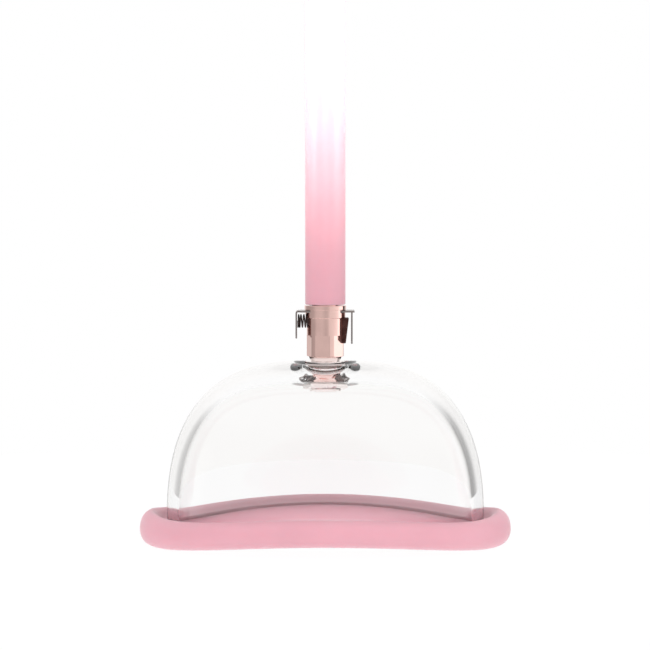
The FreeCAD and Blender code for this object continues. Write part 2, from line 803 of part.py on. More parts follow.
def make_valve_spring():
    """It runs from the retainer up to the poppet's head."""
    gap = size("fit_gap")
    wire = size("valve_spring_wire")
    start = place("retainer_top") + gap
    end = place("poppet_under") - gap
    return make_coil(
        "valve_spring", place("valve_spring_radius"), wire, size("valve_spring_turns"), end - start,
        FreeCAD.Placement(vector(0, 0, start + wire / 2), FreeCAD.Rotation()),
    )


def make_valve_retainer():
    body = new_body("valve_retainer")
    outline = new_sketch(body, "retainer_outline", "XY_Plane", "Places.retainer_base")
    draw_circle(outline, ("0", "0"), "Sizes.valve_bore_radius")
    disc = body.newObject("PartDesign::Pad", "retainer_disc")
    disc.Profile = outline
    disc.setExpression("Length", "Sizes.retainer_thickness")
    doc.recompute()
    outline = new_sketch(body, "vent_outline", "XY_Plane", "Places.retainer_base")
    draw_circle(outline, ("Sizes.vent_circle", "0"), "Sizes.vent_radius")
    vent = pocket(body, "vent", outline, "Sizes.retainer_thickness * 2", reverse=True)
    pattern(body, "vents", "PartDesign::PolarPattern", vent, "Z_Axis", {}, Angle=360, Occurrences=4)
    return body


def make_valve_poppet():
    body = new_body("valve_poppet")
    revolve(
        body,
        "poppet_turned",
        [
            ("0", "Places.poppet_under - Sizes.poppet_pin_length"),
            ("Sizes.poppet_pin_radius", "Places.poppet_under - Sizes.poppet_pin_length"),
            ("Sizes.poppet_pin_radius", "Places.poppet_under"),
            ("Places.poppet_radius", "Places.poppet_under"),
            ("Places.poppet_radius", "Places.poppet_top"),
            ("Sizes.pusher_radius", "Places.poppet_top"),
            ("Sizes.pusher_radius", "Places.pusher_top"),
            ("0", "Places.pusher_top"),
        ],
    )
    # Four flutes leave a cross, so that air passes the pusher.
    outline = new_sketch(body, "flute_outline", "XY_Plane", "Places.valve_seal_top")
    web, out = "Sizes.pusher_web / 2", "Sizes.pusher_radius * 1.2"
    draw_outline(outline, [(web, web), (out, web), (out, out), (web, out)])
    flute = pocket(body, "flute", outline, "Places.pusher_top - Places.valve_seal_top + 1", reverse=True)
    pattern(body, "flutes", "PartDesign::PolarPattern", flute, "Z_Axis", {}, Angle=360, Occurrences=4)
    return body


# ---------------------------------------------------------------- hose and fittings


def barbs(base, step):
    """Corner places of a row of hose barbs, from the shoulder towards the tip."""
    corners = []
    for number in range(int(size("barb_count"))):
        start = f"({base} + {step} * Sizes.barb_pitch * {number})"
        end = f"({base} + {step} * Sizes.barb_pitch * {number + 1})"
        corners.append(("Sizes.hose_bore_radius", f"{start} + {step} * Sizes.barb_pitch * 0.35"))
        corners.append(("Places.barb_radius", f"{start} + {step} * Sizes.barb_pitch * 0.4"))
        corners.append(("Sizes.hose_bore_radius", end))
    return corners


def make_hose_plug():
    body = new_body("hose_plug")
    shank = "Places.shank_radius"
    groove_low = "(Places.latch_level - Sizes.plug_groove_height / 2)"
    groove_high = "(Places.latch_level + Sizes.plug_groove_height / 2)"
    seal_low = "(Places.plug_seal_level - Sizes.seal_section * 1.3)"
    seal_high = "(Places.plug_seal_level + Sizes.seal_section * 1.3)"
    seal_root = f"({shank} - Sizes.seal_section * 2)"
    nose = "(Places.nose_base + Sizes.plug_nose_length)"
    row = barbs("Places.hose_base", "1")
    tip = row[-1][1]
    corners = [
        ("Sizes.air_bore_radius", "Places.nose_base"),
        ("Sizes.plug_nose_radius", "Places.nose_base"),
        (shank, nose),
        (shank, seal_low),
        (seal_root, seal_low),
        (seal_root, seal_high),
        (shank, seal_high),
        (shank, groove_low),
        ("Places.plug_groove_radius", groove_low),
        ("Places.plug_groove_radius", groove_high),
        (shank, groove_high),
        (shank, "Places.plug_flange_base"),
        ("Places.plug_flange_radius", "Places.plug_flange_base"),
        ("Places.plug_flange_radius", "Places.hose_base"),
        ("Sizes.hose_bore_radius", "Places.hose_base"),
    ]
    corners += row + [("Sizes.air_bore_radius", tip)]
    revolve(body, "plug_turned", corners)
    return body


def make_hose():
    """A straight run: the hose is pulled tight between the coupling and the hand that holds it."""
    outside = cylinder("hose_outside", "Places.hose_radius", "Sizes.hose_length", "Places.hose_base")
    inside = cylinder(
        "hose_inside", "Sizes.hose_bore_radius", "Sizes.hose_length + 2", "Places.hose_base - 1"
    )
    hose = cut("hose", outside, inside)
    doc.recompute()
    section = math.pi * (place("hose_radius") ** 2 - size("hose_bore_radius") ** 2)
    print("hose: one straight run, volume / (section x length) =",
          round(hose.Shape.Volume / (section * size("hose_length")), 5))
    return hose


def make_pump_connector():
    body = new_body("pump_connector")
    seal_low = "(Places.nozzle_seal_level - Sizes.seal_section * 1.3)"
    seal_high = "(Places.nozzle_seal_level + Sizes.seal_section * 1.3)"
    seal_root = "(Sizes.nozzle_radius - Sizes.seal_section * 2)"
    groove_low = "(Places.nozzle_groove_level - Sizes.plug_groove_height / 2)"
    groove_high = "(Places.nozzle_groove_level + Sizes.plug_groove_height / 2)"
    row = barbs("Places.hose_top", "-1")
    tip = row[-1][1]
    corners = [("Sizes.air_bore_radius", tip)]
    corners += row[::-1]
    corners += [
        ("Sizes.hose_bore_radius", "Places.hose_top"),
        ("Sizes.connector_radius", "Places.hose_top"),
        ("Sizes.connector_radius", "Places.connector_top - Sizes.edge_break"),
        ("Sizes.connector_radius - Sizes.edge_break", "Places.connector_top"),
        ("Sizes.nozzle_radius", "Places.connector_top"),
        ("Sizes.nozzle_radius", seal_low),
        (seal_root, seal_low),
        (seal_root, seal_high),
        ("Sizes.nozzle_radius", seal_high),
        ("Sizes.nozzle_radius", groove_low),
        ("Places.plug_groove_radius", groove_low),
        ("Places.plug_groove_radius", groove_high),
        ("Sizes.nozzle_radius", groove_high),
        ("Sizes.nozzle_radius", "Places.nozzle_top - Sizes.edge_break * 2"),
        ("Sizes.nozzle_radius - Sizes.edge_break * 2", "Places.nozzle_top"),
        ("Sizes.air_bore_radius", "Places.nozzle_top"),
    ]
    revolve(body, "connector_turned", corners)
    return body


def make_o_ring(name, outer, height):
    """A round-section ring whose outside just clears the bore that it seals in."""
    ring = doc.addObject("Part::Torus", name)
    ring.setExpression("Radius1", f"{outer} - Sizes.seal_squeeze_gap - Sizes.seal_section")
    ring.setExpression("Radius2", "Sizes.seal_section")
    ring.setExpression(".Placement.Base.z", height)
    return ring


# ---------------------------------------------------------------- assembly

dome = make_cup_dome()
parts = {
    "cup_dome": dome,
    "silicone_flange": make_silicone_flange(dome),
    "coupling_body": make_coupling_body(),
    "crown_seal": make_washer(
        "crown_seal", "Sizes.stem_radius", "Sizes.seal_radius", "Places.dish_floor", "Places.seal_top"
    ),
    "nut_washer": make_washer(
        "nut_washer", "Sizes.stem_radius", "Sizes.washer_radius", "Places.nut_top", "Places.washer_top"
    ),
    "lock_nut": make_lock_nut(),
    "latch_plate": make_latch_plate(),
    "latch_spring": make_latch_spring(),
    "valve_retainer": make_valve_retainer(),
    "valve_poppet": make_valve_poppet(),
    "valve_seal": make_washer(
        "valve_seal", "Sizes.pusher_radius", "Places.valve_seal_radius",
        "Places.poppet_top", "Places.valve_seal_top",
    ),
    "valve_spring": make_valve_spring(),
    "hose_plug": make_hose_plug(),
    "plug_seal": make_o_ring("plug_seal", "Sizes.plug_bore_radius", "Places.plug_seal_level"),
    "hose": make_hose(),
    "pump_connector": make_pump_connector(),
    "connector_seal": make_o_ring(
        "connector_seal", "Sizes.nozzle_radius + Sizes.seal_squeeze_gap", "Places.nozzle_seal_level"
    ),
}
doc.recompute()

failed = [item.Name for item in doc.Objects if "Invalid" in item.State or "Error" in item.State]
if failed:
    raise RuntimeError(f"objects that failed: {failed}")
for name, piece in parts.items():
    piece.Label = name
    if piece.Shape.isNull() or not piece.Shape.isValid():
        raise RuntimeError(f"{name} is not a valid shape")

os.makedirs("parts", exist_ok=True)
for name, piece in parts.items():
    piece.Shape.exportStep(f"parts/{name}.step")
    box = piece.Shape.BoundBox
    print(f"{name}: {len(piece.Shape.Solids)} solid, volume {piece.Shape.Volume:.1f},",
          f"x {box.XMin:.2f}..{box.XMax:.2f} y {box.YMin:.2f}..{box.YMax:.2f}",
          f"z {box.ZMin:.2f}..{box.ZMax:.2f}")
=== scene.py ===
import math

import bmesh
import bpy
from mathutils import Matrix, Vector


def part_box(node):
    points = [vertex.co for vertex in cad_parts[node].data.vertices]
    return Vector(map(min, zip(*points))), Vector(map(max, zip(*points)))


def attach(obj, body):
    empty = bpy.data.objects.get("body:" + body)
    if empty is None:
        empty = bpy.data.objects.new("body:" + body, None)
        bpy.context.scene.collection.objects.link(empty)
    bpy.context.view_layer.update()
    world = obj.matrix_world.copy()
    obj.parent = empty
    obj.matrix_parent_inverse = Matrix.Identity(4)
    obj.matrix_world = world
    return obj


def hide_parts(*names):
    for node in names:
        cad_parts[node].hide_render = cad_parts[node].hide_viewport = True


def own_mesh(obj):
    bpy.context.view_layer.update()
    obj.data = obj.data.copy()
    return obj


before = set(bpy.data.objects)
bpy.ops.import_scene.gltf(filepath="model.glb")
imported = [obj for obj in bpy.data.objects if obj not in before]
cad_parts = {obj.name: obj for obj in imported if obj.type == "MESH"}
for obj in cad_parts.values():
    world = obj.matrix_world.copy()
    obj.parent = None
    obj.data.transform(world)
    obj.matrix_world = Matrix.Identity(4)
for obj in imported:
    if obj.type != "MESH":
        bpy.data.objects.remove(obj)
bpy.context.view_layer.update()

bl_info = {
    "name": "Oval Suction Cup",
    "version": (1, 0, 0),
    "blender": (4, 5, 0),
    "location": "View3D > Sidebar > Suction Cup",
    "description": "Clear oval suction cup with a silicone flange, a latching coupling and a hose",
    "category": "Object",
}

MM = 0.001
LATCH_TRAVEL, VALVE_TRAVEL = 1.2, 0.6
BELL_COLUMNS, BELL_ROWS, FLANGE_COLUMNS, HOSE_COLUMNS = 320, 80, 288, 72
WHITE = (1.0, 1.0, 1.0)
# The studio's walls: degrees round from the front towards +X, and how bright they are there.
SHINE_WALLS = [
    (-180, 1.0), (-150, 1.0), (-142, 0.75), (-134, 0.6), (-124, 0.45), (-100, 0.44), (-72, 0.5),
    (-52, 0.68), (-20, 0.7), (2, 0.6), (14, 0.64), (26, 0.85), (58, 0.98), (78, 1.15), (86, 1.5),
    (110, 1.5), (116, 0.03), (126, 0.05), (131, 0.35), (142, 0.55), (150, 0.88), (158, 1.0), (180, 1.0),
]
GLASS_WALLS = [
    (-180, 1.0), (-150, 1.0), (-142, 0.75), (-134, 0.6), (-126, 0.6), (-116, 1.0), (116, 1.0),
    (125, 0.3), (131, 0.35), (142, 0.55), (150, 0.88), (158, 1.0), (180, 1.0),
]


def low(node):
    """Lowest corner of a designed node, in millimetres."""
    return Vector(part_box(node)[0]) / MM


def high(node):
    """Highest corner of a designed node, in millimetres."""
    return Vector(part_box(node)[1]) / MM


# ---- settings


def length(name, about, default):
    """A size in millimetres, kept in metres as Blender does."""
    return bpy.props.FloatProperty(
        name=name, description=about, default=default * MM, min=0.0, precision=5, unit="LENGTH"
    )


def colour(name, about, default):
    return bpy.props.FloatVectorProperty(
        name=name, description=about, default=default, size=3, min=0.0, max=1.0, subtype="COLOR"
    )


class BellSettings(bpy.types.PropertyGroup):
    """Sizes of the clear bell and of the saddle curve of its mouth."""

    half_length: length("Half length", "Half of the oval's long side", high("cup_dome").x)
    half_width: length("Half width", "Half of the oval's short side", 31.3)
    shoulder: length("Shoulder", "Height where the wall starts to curve in", 10.0)
    crown: length("Crown", "Height of the crown", 59.4)
    wall: length("Wall", "Thickness of the side wall", 4.0)
    crown_wall: length("Crown wall", "Thickness of the crown", 5.2)
    edge: length("Edge", "Height of the bell's edge at the level ends", low("cup_dome").z)
    rise: length("Saddle rise", "How far the mouth is lifted in the middle", 3.5)
    dish: length("Dish", "Radius of the dish in the crown", 11.0)
    crest: length("Crest", "Height of the flange's crest along the long sides", 8.8)
    end_crest: length("End crest", "Height of the flange's crest at the ends", 11.2)
    side_power: bpy.props.FloatProperty(
        name="Side fullness", description="Power of the outline at the side", default=3.2
    )
    crown_power: bpy.props.FloatProperty(
        name="Crown fullness", description="Power of the outline at the crown", default=2.2
    )


class CouplingSettings(bpy.types.PropertyGroup):
    """Sizes of the coupling's turned body, nut and latch."""

    barrel: length("Barrel", "Radius of the barrel", 6.0)
    collar: length("Collar", "Radius of the collar", 6.5)
    rim: length("Rim", "Radius of the collar's rim", high("coupling_body").y)
    flats: length("Flats", "Half of the size across the wrench flats", 5.55)
    stem: length("Stem", "Outer radius of the threaded stem", 5.0)
    thread: length("Thread", "Depth of the thread", 0.55)
    pitch: length("Pitch", "Pitch of the thread", 1.0)
    nut: length("Nut", "Half of the nut's size across its flats", 6.3)
    sheet: length("Latch sheet", "Thickness of the latch plate", 0.5)
    turns: bpy.props.FloatProperty(
        name="Flats turn", description="Angle of the wrench flats in degrees", default=-10.0
    )


class FinishSettings(bpy.types.PropertyGroup):
    """Colours of the finishes."""

    silicone: colour("Silicone", "Flange and hose", (0.86, 0.45, 0.525))
    metal: colour("Plated metal", "Coupling, nut and fittings", (0.88, 0.60, 0.55))
    pale: colour("Pale metal", "Plating of the stem and the nut", (0.93, 0.85, 0.83))
    sheet: colour("Latch sheet", "Plated spring sheet of the latch", (0.30, 0.26, 0.25))
    clear: colour("Clear plastic", "Tint of the bell", (0.985, 0.985, 0.985))
    wire: colour("Spring wire", "Dark drawn wire", (0.11, 0.085, 0.08))


# ---- mesh helpers


def around(count):
    """Evenly spaced angles round a circle."""
    return [2 * math.pi * number / count for number in range(count)]


def placed(name, data):
    """A new object in the scene."""
    piece = bpy.data.objects.new(name, data)
    bpy.context.scene.collection.objects.link(piece)
    return piece


def turn_outwards(mesh, merge=0.0):
    """Merge doubles within the given distance, and turn every face outwards."""
    work = bmesh.new()
    work.from_mesh(mesh)
    if merge:
        bmesh.ops.remove_doubles(work, verts=work.verts, dist=merge)
    bmesh.ops.recalc_face_normals(work, faces=work.faces)
    work.to_mesh(mesh)
    work.free()


def mesh_piece(name, points, faces, sharp=35.0):
    """A smooth mesh object from points in millimetres, its faces turned outwards."""
    mesh = bpy.data.meshes.new(name)
    mesh.from_pydata([Vector(point) * MM for point in points], [], faces)
    turn_outwards(mesh, merge=1e-7)
    mesh.shade_smooth()
    mesh.set_sharp_from_angle(angle=math.radians(sharp))
    return placed(name, mesh)


def closed_grid(rows):
    """Faces of a grid whose rows and columns both close on themselves."""
    count, width = len(rows), len(rows[0])
    points = [point for row in rows for point in row]
    faces = []
    for row in range(count):
        here, below = row * width, (row + 1) % count * width
        for column in range(width):
            beside = (column + 1) % width
            faces.append((here + column, here + beside, below + beside, below + column))
    return points, faces


def soften(corners, radius=0.18, steps=3):
    """Round each corner of a closed outline, with a supporting point on each side of the round."""
    outline = []
    count = len(corners)
    for number, corner in enumerate(corners):
        here = Vector(corner)
        back = Vector(corners[number - 1]) - here
        ahead = Vector(corners[(number + 1) % count]) - here
        reach = min(radius, back.length * 0.3, ahead.length * 0.3)
        start = here + back.normalized() * reach
        end = here + ahead.normalized() * reach
        outline.append(start + back.normalized() * reach * 0.4)
        for step in range(steps + 1):
            share = step / steps
            outline.append(start.lerp(here, share).lerp(here.lerp(end, share), share))
        outline.append(end + ahead.normalized() * reach * 0.4)
    return outline


def lathe(name, outline, angles=None, radius_at=None, sharp=35.0):
    """Turn a closed outline of (radius, height) about Z; radius_at may reshape the radius by place."""
    angles = angles or around(128)
    rows = []
    for radius, height in outline:
        row = []
        for angle in angles:
            reach = radius_at(radius, height, angle) if radius_at else radius
            row.append((reach * math.cos(angle), reach * math.sin(angle), height))
        rows.append(row)
    return mesh_piece(name, *closed_grid(rows), sharp=sharp)


def hexagonal(reach, flat, turn, angle):
    """The reach, cut back to the flats of a hexagon."""
    off = (math.degrees(angle) - turn) % 60 - 30
    return min(reach, flat / math.cos(math.radians(off)))


def flat_angles(reach, flat, turn, count=120):
    """Angles round the axis that include each end of each flat and each corner between flats."""
    half = math.degrees(math.acos(min(flat / reach, 1.0)))
    angles = {round(360 * number / count, 4) for number in range(count)}
    for side in range(6):
        middle = turn + 60 * side + 30
        angles |= {round((middle + off) % 360, 4) for off in (-30, -half, half)}
    return [math.radians(angle) for angle in sorted(angles)]


def block(name, start, end):
    """A plain box between two corners, for cutting."""
    corners = [
        (x, y, z) for x in (start[0], end[0]) for y in (start[1], end[1]) for z in (start[2], end[2])
    ]
    faces = [(0, 1, 3, 2), (4, 6, 7, 5), (0, 4, 5, 1), (2, 3, 7, 6), (0, 2, 6, 4), (1, 5, 7, 3)]
    return mesh_piece(name, corners, faces)


def rod(name, outline, start, end, axis):
    """A closed outline pushed along X or Z from start to end; the outline is in the other two axes."""
    rows = []
    for along in (start, end):
        if axis == "Z":
            rows.append([(a, b, along) for a, b in outline])
        elif axis == "X":
            rows.append([(along, a, b) for a, b in outline])
        else:
            rows.append([(a, along, b) for a, b in outline])
    width = len(outline)
    points = rows[0] + rows[1]
    faces = [(n, (n + 1) % width, width + (n + 1) % width, width + n) for n in range(width)]
    faces += [tuple(range(width)), tuple(range(width, 2 * width))]
    return mesh_piece(name, points, faces)


def ring(centre, radius, count=64):
    """Points round a circle."""
    return [
        (centre[0] + radius * math.cos(angle), centre[1] + radius * math.sin(angle))
        for angle in around(count)
    ]


def combine(piece, tools, edge=0.0):
    """Cut or join each (operation, tool), round the new edges, and keep the result as a plain mesh."""
    for operation, tool in tools:
        step = piece.modifiers.new(operation, "BOOLEAN")
        step.operation = operation
        step.solver = "EXACT"
        step.object = tool
    if edge:
        bevel = piece.modifiers.new("edges", "BEVEL")
        bevel.width = edge * MM
        bevel.segments = 2
        bevel.limit_method = "ANGLE"
        bevel.angle_limit = math.radians(40)
    bake(piece)
    for _, tool in tools:
        bpy.data.objects.remove(tool)
    piece.data.set_sharp_from_angle(angle=math.radians(35))
    return piece


def bake(piece):
    """Replace the piece's mesh by what its modifiers make of it."""
    graph = bpy.context.evaluated_depsgraph_get()
    result = bpy.data.meshes.new_from_object(piece.evaluated_get(graph), depsgraph=graph)
    piece.modifiers.clear()
    result.name = piece.name
    piece.data = result
    return piece


def finished(piece, body, node, material):
    """Dress a piece, put it on its body and let it stand for its designed node."""
    piece.data.materials.clear()
    piece.data.materials.append(material)
    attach(piece, body)
    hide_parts(node)
    return piece


def dress(node, material):
    """Give a designed node its material."""
    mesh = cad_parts[node].data
    mesh.materials.clear()
    mesh.materials.append(material)


# ---- finishes


def blank_material(name):
    """A material with its shader, and the Object coordinates that its patterns follow."""
    name = "finish_" + name
    material = bpy.data.materials.get(name)
    if material:
        return material, None, None, None
    material = bpy.data.materials.new(name)
    material.use_nodes = True
    tree = material.node_tree
    shader = tree.nodes["Principled BSDF"]
    place = tree.nodes.new("ShaderNodeTexCoord")
    return material, tree, shader, place.outputs["Object"]


def sockets(node, amounts):
    """Set sockets of a node by name."""
    for name, amount in amounts.items():
        node.inputs[name].default_value = amount


def noise(tree, place, scale, detail=3.0, stretch=None):
    """Noise on the object's own coordinates; scale is in features per metre."""
    if stretch:
        mapping = tree.nodes.new("ShaderNodeMapping")
        mapping.inputs["Scale"].default_value = stretch
        tree.links.new(place, mapping.inputs["Vector"])
        place = mapping.outputs["Vector"]
    texture = tree.nodes.new("ShaderNodeTexNoise")
    sockets(texture, {"Scale": scale, "Detail": detail})
    tree.links.new(place, texture.inputs["Vector"])
    return texture.outputs["Fac"]


def spread(tree, value, lowest, highest, start=0.0, end=1.0):
    """Map a value from start..end to lowest..highest."""
    node = tree.nodes.new("ShaderNodeMapRange")
    sockets(node, {"From Min": start, "From Max": end, "To Min": lowest, "To Max": highest})
    tree.links.new(value, node.inputs["Value"])
    return node.outputs["Result"]


def math_node(tree, operation, first, second=None):
    """A sum on numbers or sockets."""
    node = tree.nodes.new("ShaderNodeMath")
    node.operation = operation
    for socket, value in zip(node.inputs, (first, second)):
        if isinstance(value, (int, float)):
            socket.default_value = value
        elif value is not None:
            tree.links.new(value, socket)
    return node.outputs[0]


def mixed(tree, amount, first, second):
    """A mix of two colours, each a tuple or a socket."""
    node = tree.nodes.new("ShaderNodeMixRGB")
    tree.links.new(amount, node.inputs["Fac"])
    for socket, value in ((node.inputs["Color1"], first), (node.inputs["Color2"], second)):
        if isinstance(value, tuple):
            socket.default_value = (*value, 1.0)
        else:
            tree.links.new(value, socket)
    return node.outputs["Color"]


def bump(tree, shader, height, strength, distance):
    """A bump of the given depth in millimetres."""
    node = tree.nodes.new("ShaderNodeBump")
    sockets(node, {"Strength": strength, "Distance": distance * MM})
    tree.links.new(height, node.inputs["Height"])
    tree.links.new(node.outputs["Normal"], shader.inputs["Normal"])


def tinted(tree, shader, value, base, darker, lighter):
    """The base colour, a little darker and lighter from place to place."""
    ramp = tree.nodes.new("ShaderNodeValToRGB")
    for end, times, position in ((0, darker, 0.3), (1, lighter, 0.7)):
        element = ramp.color_ramp.elements[end]
        element.color = (*[min(part * times, 1.0) for part in base], 1.0)
        element.position = position
    tree.links.new(value, ramp.inputs["Fac"])
    tree.links.new(ramp.outputs["Color"], shader.inputs["Base Color"])


def clear_acrylic():
    material, tree, shader, place = blank_material("clear_acrylic")
    if tree:
        tint = bpy.context.scene.cup_finish.clear
        sockets(shader, {"Transmission Weight": 1.0, "IOR": 1.49})
        tinted(tree, shader, noise(tree, place, 30), tint, 0.995, 1.0)
        haze = noise(tree, place, 90, 4)
        tree.links.new(spread(tree, haze, 0.0, 0.035), shader.inputs["Roughness"])
    return material


def pink_silicone():
    material, tree, shader, place = blank_material("pink_silicone")
    if tree:
        base = bpy.context.scene.cup_finish.silicone
        tinted(tree, shader, noise(tree, place, 60), base, 0.97, 1.03)
        tree.links.new(spread(tree, noise(tree, place, 900), 0.36, 0.52), shader.inputs["Roughness"])
        sockets(shader, {
            "Subsurface Weight": 0.5, "Subsurface Radius": (1.0, 0.6, 0.6),
            "Subsurface Scale": 2.5 * MM, "Sheen Weight": 0.12, "Specular IOR Level": 0.38,
        })
        bump(tree, shader, noise(tree, place, 2600, 4), 0.16, 0.05)
    return material


def blank_metal(name, base, scale, darker, lighter):
    """A metal whose colour varies a little from place to place."""
    material, tree, shader, place = blank_material(name)
    if tree:
        shader.inputs["Metallic"].default_value = 1.0
        tinted(tree, shader, noise(tree, place, scale), base, darker, lighter)
    return material, tree, shader, place


def rose_gold():
    """Plated brass with the fine rings that turning leaves; paler below the barrel."""
    finish = bpy.context.scene.cup_finish
    material, tree, shader, place = blank_metal("rose_gold", finish.metal, 240, 0.96, 1.03)
    if tree:
        rings = noise(tree, place, 60, 2, (1, 1, 90))
        tree.links.new(spread(tree, rings, 0.05, 0.14), shader.inputs["Roughness"])
        parts = tree.nodes.new("ShaderNodeSeparateXYZ")
        tree.links.new(place, parts.inputs[0])
        seal_top = high("crown_seal").z
        barrel = spread(
            tree, parts.outputs["Z"], 0.0, 1.0, (seal_top + 1.6) * MM, (seal_top + 2.4) * MM)
        plated = shader.inputs["Base Color"].links[0].from_socket
        tree.links.new(mixed(tree, barrel, tuple(finish.pale), plated), shader.inputs["Base Color"])
        bump(tree, shader, rings, 0.10, 0.02)
    return material


def latch_metal():
    """Plated spring sheet, with the grain of the strip along X."""
    sheet = bpy.context.scene.cup_finish.sheet
    material, tree, shader, place = blank_metal("latch_metal", sheet, 300, 0.9, 1.06)
    if tree:
        grain = noise(tree, place, 200, 3, (1, 14, 14))
        tree.links.new(spread(tree, grain, 0.14, 0.34), shader.inputs["Roughness"])
        bump(tree, shader, grain, 0.12, 0.02)
    return material


def dull_metal(name, base, grain, lighter, rough, depth):
    """Metal with a fine, uneven surface in a dark colour; on the stop lug that dark colour is painted
    shade.
    """
    tint_scale, rough_scale, bump_scale = grain
    material, tree, shader, place = blank_metal(name, base, tint_scale, 0.7, lighter)
    if tree:
        roughness = spread(tree, noise(tree, place, rough_scale), rough, rough + 0.2)
        tree.links.new(roughness, shader.inputs["Roughness"])
        bump(tree, shader, noise(tree, place, bump_scale), 0.2, depth)
    return material


def painted_shade_metal():
    """The stop lug's plating, its dark colour painted shade; the surface is dull."""
    return dull_metal("painted_shade_metal", (0.075, 0.034, 0.03), (700, 2000, 3000), 1.5, 0.2, 0.02)


def spring_wire():
    wire = bpy.context.scene.cup_finish.wire
    return dull_metal("spring_wire", wire, (800, 3000, 5000), 1.3, 0.22, 0.01)


def soft_plastic(name, base, rough, subsurface=0.0):
    """A matt rubber or plastic with a fine moulded texture."""
    material, tree, shader, place = blank_material(name)
    if tree:
        tinted(tree, shader, noise(tree, place, 200), base, 0.94, 1.05)
        tree.links.new(spread(tree, noise(tree, place, 1500), rough - 0.06, rough + 0.08),
                       shader.inputs["Roughness"])
        sockets(shader, {
            "Subsurface Weight": subsurface, "Subsurface Radius": (1.0, 0.8, 0.8),
            "Subsurface Scale": MM,
        })
        bump(tree, shader, noise(tree, place, 3500, 4), 0.2, 0.02)
    return material


def seal_rubber():
    return soft_plastic("seal_rubber", (0.03, 0.028, 0.03), 0.42)


def pale_silicone():
    return soft_plastic("pale_silicone", (0.80, 0.70, 0.69), 0.35, 0.5)


def nylon():
    return soft_plastic("nylon", (0.84, 0.81, 0.77), 0.4, 0.3)


# ---- stage


def painted_walls(tree, share, walls):
    """The walls' colour where a ray meets them; share runs from 0 to 1 round the studio."""
    ramp = tree.nodes.new("ShaderNodeValToRGB")
    elements = ramp.color_ramp.elements
    for degrees, grey in walls:
        place = (degrees + 180) / 360
        ends = {0: elements[0], 1: elements[-1]}
        element = ends[place] if place in ends else elements.new(place)
        element.color = (grey, grey * 0.99, grey * 0.98, 1.0)
    tree.links.new(share, ramp.inputs["Fac"])
    return ramp.outputs["Color"]


def studio_world():
    """White for the eye and for soft light; reflections and glass each see walls of their own."""
    world = bpy.data.worlds.new("studio")
    bpy.context.scene.world = world
    world.use_nodes = True
    tree = world.node_tree
    tree.nodes.clear()
    new, link = tree.nodes.new, tree.links.new
    place = new("ShaderNodeTexCoord")
    parts = new("ShaderNodeSeparateXYZ")
    link(place.outputs["Generated"], parts.inputs[0])
    forward = math_node(tree, "MULTIPLY", parts.outputs["Y"], -1.0)
    bearing = math_node(tree, "ARCTAN2", parts.outputs["X"], forward)
    share = spread(tree, bearing, 0.0, 1.0, -math.pi, math.pi)
    shine = painted_walls(tree, share, SHINE_WALLS)
    through_glass = painted_walls(tree, share, GLASS_WALLS)
    ray = new("ShaderNodeLightPath").outputs
    sides = mixed(tree, ray["Is Transmission Ray"], shine, through_glass)
    steep = spread(tree, math_node(tree, "ABSOLUTE", parts.outputs["Z"]), 0.0, 1.0, 0.35, 0.6)
    room = mixed(tree, steep, sides, WHITE)
    soft = mixed(tree, ray["Is Diffuse Ray"], room, (0.66, 0.66, 0.66))
    background = new("ShaderNodeBackground")
    link(mixed(tree, ray["Is Camera Ray"], soft, WHITE), background.inputs["Color"])
    output = new("ShaderNodeOutputWorld")
    link(background.outputs["Background"], output.inputs["Surface"])


def aim(thing, target):
    thing.rotation_euler = (Vector(target) - thing.location).to_track_quat("-Z", "Y").to_euler()


def hang(name, kind, place, target, power):
    """A lamp of the given kind, aimed at a point."""
    light = bpy.data.lights.new(name, kind)
    light.energy = power
    lamp = placed(name, light)
    lamp.location = place
    aim(lamp, target)
    return lamp


def soft_light(name, place, target, width, power):
    """A wide lamp that leaves no bright square in the glass or the metal."""
    lamp = hang(name, "AREA", place, target, power)
    lamp.data.size = width
    lamp.visible_glossy = False
    lamp.visible_transmission = False


def spot_light(name, place, target, cone, blend, power):
    lamp = hang(name, "SPOT", place, target, power)
    lamp.data.spot_size = math.radians(cone)
    lamp.data.spot_blend = blend
    lamp.data.color = (1.0, 1.0, 0.92)
    lamp.data.shadow_soft_size = 0.03


class CUP_OT_stage(bpy.types.Operator):
    """Set up the floor, the studio light and the camera"""

    bl_idname = "suction_cup.stage"
    bl_label = "Stage"

    def execute(self, context):
        scene = context.scene
        scene.view_settings.view_transform = "Standard"
        studio_world()
        rim = [(x, y, 0) for x, y in ring((0, 0), 300.0, 96)]
        floor = mesh_piece("floor", rim, [tuple(range(len(rim)))])
        material, tree, shader, _ = blank_material("floor")
        sockets(shader, {
            "Base Color": (0.08, 0.08, 0.08, 1), "Roughness": 0.95, "Specular IOR Level": 0.0,
            "Emission Color": (1, 1, 1, 1), "Emission Strength": 0.95,
        })
        floor.data.materials.append(material)
        floor.visible_glossy = False

        soft_light("key", (-0.45, -0.7, 0.75), (0, 0, 0.03), 0.7, 2.6)
        soft_light("fill", (0.7, -0.35, 0.5), (0, 0, 0.03), 0.5, 1.0)
        hose_top = high("hose").z * MM
        # Three spots wash the far end of the hose out from the front.
        reach, cone, blend = 0.475, 20.6, 0.62
        for name, turn, power in (("left", -66, 11), ("middle", 0, 5), ("right", 66, 11)):
            turn = math.radians(turn)
            place = (reach * math.sin(turn), -reach * math.cos(turn), hose_top + 0.02)
            spot_light("hose_spot_" + name, place, (0, 0, hose_top + 0.008), cone, blend, power)

        camera = bpy.data.cameras.new("camera")
        camera.sensor_width = 36
        camera.lens = 159
        holder = placed("camera", camera)
        target = Vector((-0.0001, 0, 0.071))
        distance, tilt = 0.926, math.radians(3.5)
        holder.location = target + Vector((0, -math.cos(tilt), math.sin(tilt))) * distance
        aim(holder, target)
        scene.camera = holder
        return {"FINISHED"}


# ---- hose


